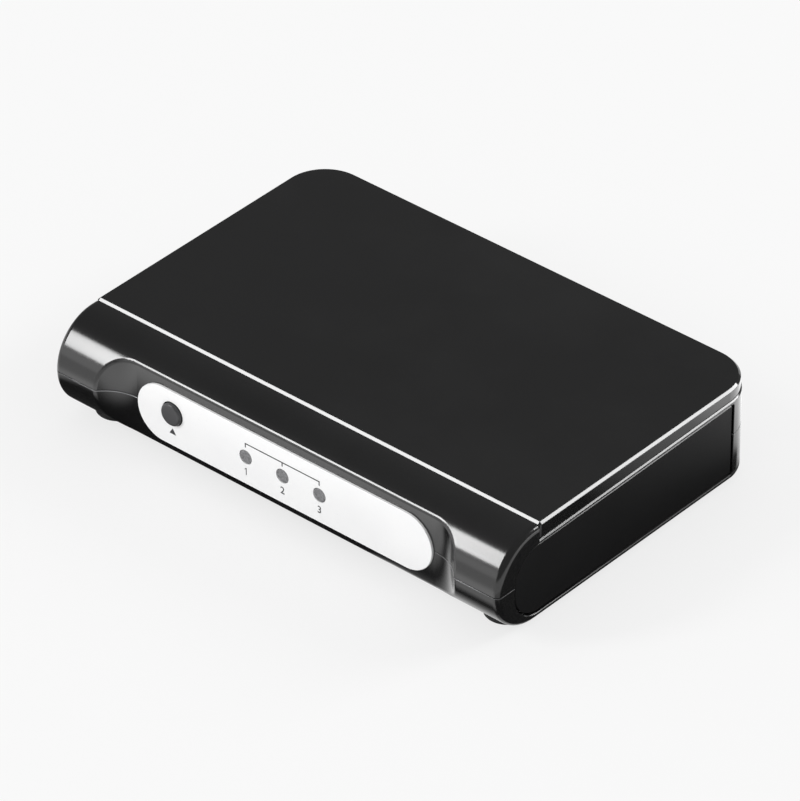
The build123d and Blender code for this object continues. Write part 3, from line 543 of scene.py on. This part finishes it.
def mirroredFloor(m):
    low, high = cadBounds
    own, ring, nose = paintedMirrorSettings, ringSettings, underSettings
    place = m.place()
    x, y = m.part(place, "X"), m.part(place, "Y")
    beyond = m.vector("SUBTRACT", m.vector("ABSOLUTE", place), (high[0], high[1], 0))
    reach = m.vector("LENGTH", m.vector("MAXIMUM", beyond), output="Value")
    near, far = own["near"]
    rear = m.rise(y, *own["rear"]) * own["rearShare"]
    closer = m.rise(x, *own["closerAcross"]) * (x < high[0]) * own["closer"]
    lit = m.rise(reach + rear * near + closer, near, far)
    side = (1 - m.rise(y, *own["sideFront"])) * (1 - m.rise(reach, *own["sideReach"])) * (x > high[0])
    corner = m.rise(y, *own["cornerBack"]) * m.rise(x, *own["cornerAcross"]) * own["cornerShade"]
    front = m.rise(reach, *ring["start"]) * (1 - m.rise(reach, *ring["end"])) * (y < low[1])
    # painted shade beside the right end, painted light at the rear corner and in the ring in front
    lit = lit * (1 - side + corner + front * ring["shade"])
    depth = y - low[1]
    # painted light under the right end of the nose, stronger in a streak
    under = m.rise(depth, *nose["start"]) * (1 - m.rise(depth, *nose["end"]))
    under = under * m.rise(x, *nose["across"]) * (x < high[0])
    streak = (1 - m.rise(x, *nose["streakAcross"])) * nose["streakShade"]
    return own["darkest"] + lit * (own["palest"] - own["darkest"]) + under * (streak + nose["shade"])


def floorFinish():
    m = Finish("floorPale")
    camera = m.node("LightPath", output="Is Camera Ray")
    glossy = m.node("LightPath", output="Is Glossy Ray")
    shade = floorSettings["shade"]
    pale = shade * floorSettings["cloudGain"]
    cloud = m.noise(m.place(), floorSettings["cloudScale"], 2)
    color = m.mix(cloud, (shade, shade, shade), (pale, pale, pale))
    seen = camera * floorSettings["cameraShare"]  # the rest is lit, so that it shows the box's shadow
    background = m.mix(seen, (0, 0, 0), (backShade, backShade, backShade))
    below = m.node("NewGeometry", output="Backfacing")  # clear from below, which shows the underside
    # painted reflection: glossy rays see this made-up floor, not the lit one
    glow = m.mix(glossy, background, mirroredFloor(m))
    return m.surface(color=m.mix(seen + glossy, color, (0, 0, 0)), glow=glow, glowStrength=1.0,
                     rough=0.9, level=0.0, clear=below)


def makeFloor():
    mesh = bpy.data.meshes.new("studioFloor")
    half = floorSettings["size"] / 2
    corners = [(-half, -half, 0), (half, -half, 0), (half, half, 0), (-half, half, 0)]
    mesh.from_pydata(corners, [], [(0, 1, 2, 3)])
    floor = bpy.data.objects.new("studioFloor", mesh)
    bpy.context.scene.collection.objects.link(floor)
    mesh.materials.append(floorFinish())


# softboxes: the nose and the lid's bevels mirror them, along is the way their long side runs
softboxSettings = {
    "keySoftbox": {"toward": (-0.536, -0.661, 0.525), "along": (0, 0.622, 0.783), "far": 1.2,
                   "size": (0.24, 0.56), "radiance": 14.5},
    "rimSoftbox": {"toward": (0.47, 0.76, 0.45), "along": (-0.60, 0.62, -0.50), "far": 1.2,
                   "size": (0.28, 0.62), "radiance": 12.5},
}


def makeSoftbox(name, toward, along, far, size, radiance):
    light = bpy.data.lights.new(name, "AREA")
    light.shape = "RECTANGLE"
    light.size, light.size_y = size
    light.energy = radiance * math.pi * size[0] * size[1]  # watts that give this radiance
    softbox = bpy.data.objects.new(name, light)
    bpy.context.scene.collection.objects.link(softbox)
    away = Vector(toward).normalized()
    sideways = Vector(along).cross(away).normalized()
    turn = Matrix((sideways, away.cross(sideways), away)).transposed().to_4x4()
    softbox.matrix_world = Matrix.Translation(away * far) @ turn


# the front glow, low on the left, fills the nose under its white band
worldSettings = {"glossyShare": 0.23, "ambient": 0.70, "glowHeights": ((0.0, 1), (0.2, 1), (0.34, 0)),
                 "glowSide": (-0.35, -0.1), "glowStrength": 1.2}


def makeWorld():
    own = worldSettings
    world = bpy.data.worlds.new("studioWorld")
    bpy.context.scene.world = world
    m = Finish("studioWorld", world)
    camera = m.node("LightPath", output="Is Camera Ray")
    glossy = m.node("LightPath", output="Is Glossy Ray")
    through = m.node("LightPath", output="Is Transmission Ray")
    seen = camera + through + glossy * own["glossyShare"]
    other = 1 - camera - through - glossy
    place = m.place("Generated")
    toFront = (m.part(place, "Y") < 0) * (1 - m.rise(m.part(place, "X"), *own["glowSide"]))
    glow = m.ramp(m.part(place, "Z"), *own["glowHeights"]) * toFront * glossy * own["glowStrength"]
    strength = seen * backShade + other * own["ambient"] + glow
    background = m.node("Background", None, {"Color": (1, 1, 1), "Strength": strength})
    m.node("OutputWorld", None, {"Surface": background})


# fitted to the photograph, angles in degrees
cameraSettings = {"place": (0.66598, -0.76144, 0.73133), "azimuth": 41.2315, "elevation": 35.5025,
                  "roll": -0.1969, "focalPixels": 6609.06, "framePixels": 801, "sensor": 36.0,
                  "clip": (0.01, 50)}


def makeCamera():
    angles = ("azimuth", "elevation", "roll")
    azimuth, elevation, roll = (math.radians(cameraSettings[key]) for key in angles)
    back = Vector((math.sin(azimuth) * math.cos(elevation), -math.cos(azimuth) * math.cos(elevation),
                   math.sin(elevation)))
    right = Vector((math.cos(azimuth), math.sin(azimuth), 0))
    up = back.cross(right)
    right, up = (right * math.cos(roll) + up * math.sin(roll), up * math.cos(roll) - right * math.sin(roll))
    data = bpy.data.cameras.new("photoCamera")
    data.sensor_width = cameraSettings["sensor"]
    data.lens = cameraSettings["focalPixels"] * cameraSettings["sensor"] / cameraSettings["framePixels"]
    data.clip_start, data.clip_end = cameraSettings["clip"]
    camera = bpy.data.objects.new("photoCamera", data)
    bpy.context.scene.collection.objects.link(camera)
    turn = Matrix((right, up, back)).transposed().to_4x4()
    camera.matrix_world = Matrix.Translation(cameraSettings["place"]) @ turn
    bpy.context.scene.camera = camera


makeFloor()
for softboxName, settings in softboxSettings.items():
    makeSoftbox(softboxName, **settings)
makeWorld()
makeCamera()
bpy.context.scene.view_settings.view_transform = "Standard"
print("stage set")
